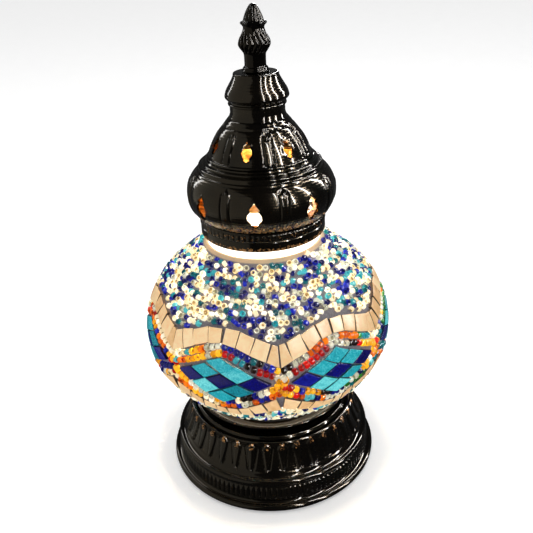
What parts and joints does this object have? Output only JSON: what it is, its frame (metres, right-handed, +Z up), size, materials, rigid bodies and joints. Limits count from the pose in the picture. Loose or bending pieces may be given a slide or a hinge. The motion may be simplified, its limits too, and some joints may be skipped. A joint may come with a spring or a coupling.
{
  "type": "mosaic glass table lamp",
  "caption": "Table lamp with a spun bronze base, a bulb inside a globe of mosaic glass tiles and beads, and a pierced domed metal cap that lifts off.",
  "frame": {"origin": "centre of the underside of the felt pad, where the lamp rests", "axes": "+Z up along the lamp's axis of revolution, -Y the front, +Y the cable inlet's side, +X the right seen from the front"},
  "size_m": [0.159, 0.1589, 0.302],
  "materials": {
    "felt": "dark green baize",
    "cover_steel": "zinc plated",
    "base_bronze": "dark bronze patina, lacquered",
    "cup_bronze": "dark bronze patina, lacquered",
    "rubber": "matt",
    "brass": "plain",
    "zinc_steel": "zinc plated",
    "silicone": "clear silicone",
    "bakelite": "black moulded",
    "porcelain": "white glaze",
    "lead_brown": "PVC insulation",
    "lead_blue": "PVC insulation",
    "lead_green": "PVC insulation",
    "nylon": "moulded nylon",
    "clear_glass": "blown, lit from inside",
    "grout": "grey-mauve plaster grout",
    "clear_beads": "white, clear, blue and teal seed beads",
    "cream_glass": "cream opal glass tiles",
    "amber_beads": "orange, red, green and blue seed beads",
    "turquoise_glass": "streaky turquoise glass",
    "cobalt_glass": "deep cobalt glass",
    "bulb_glass": "clear bulb glass",
    "stem_glass": "clear glass",
    "nickel": "nickel plated",
    "black_glass": "black vitrite",
    "solder": "soldered tip",
    "filament": "glowing strip",
    "cap_bronze": "dark bronze patina, lacquered",
    "finial_bronze": "dark bronze patina, lacquered"
  },
  "bodies": {
    "stand": {"felt_pad": "felt", "base_cover": "cover_steel", "base_skirt": "base_bronze", "base_shell": "base_bronze", "inlet_bush": "rubber", "threaded_tube": "brass", "tube_nut": "zinc_steel", "tube_washer": "zinc_steel", "globe_cup": "cup_bronze", "cup_washer": "zinc_steel", "cup_nut": "zinc_steel", "cup_gasket": "rubber", "globe_seal": "silicone", "holder_locknut": "zinc_steel", "holder_cap": "bakelite", "holder_core": "porcelain", "holder_sleeve": "bakelite", "screw_shell": "brass", "centre_contact": "brass", "holder_screws": "brass", "live_lead": "lead_brown", "neutral_lead": "lead_blue", "earth_lead": "lead_green", "earth_tag": "brass", "earth_screw": "zinc_steel", "terminal_block": "nylon", "terminal_sleeves": "brass", "terminal_screws": "zinc_steel", "block_screw": "zinc_steel", "glass_globe": "clear_glass", "glass_shoulder": "clear_glass", "glass_neck": "clear_glass", "grout": "grout", "crown_beads": "clear_beads", "cream_tiles_upper": "cream_glass", "border_beads_upper": "amber_beads", "turquoise_tiles": "turquoise_glass", "cobalt_tiles": "cobalt_glass", "border_beads_lower": "amber_beads", "cream_tiles_lower": "cream_glass", "foot_beads": "clear_beads"},
    "bulb": {"bulb_envelope": "bulb_glass", "bulb_cap": "nickel", "bulb_insulator": "black_glass", "bulb_contact": "solder", "bulb_stem": "stem_glass", "bulb_filaments": "filament"},
    "cap": {"cap_collar": "cap_bronze", "cap_lower_dome": "cap_bronze", "cap_upper_dome": "cap_bronze", "cap_crown": "cap_bronze", "cap_bridge": "zinc_steel", "cap_rod": "zinc_steel", "cap_nut": "zinc_steel", "cap_washer": "zinc_steel", "neck_gasket": "rubber"},
    "finial": {"finial": "finial_bronze"}
  },
  "joints": [
    {"name": "cap_lift", "type": "slide", "parent": "stand", "child": "cap", "axis": [0, 0, 1], "range_m": [0, 0.12]},
    {"name": "finial_turn", "type": "hinge", "parent": "cap", "child": "finial", "pos_m": [0, 0, 0.28], "axis": [0, 0, 1], "range_deg": [0, 1440]},
    {"name": "bulb_turn", "type": "hinge", "parent": "stand", "child": "bulb", "pos_m": [0, 0, 0.12], "axis": [0, 0, 1], "range_deg": [0, 1080]}
  ]
}
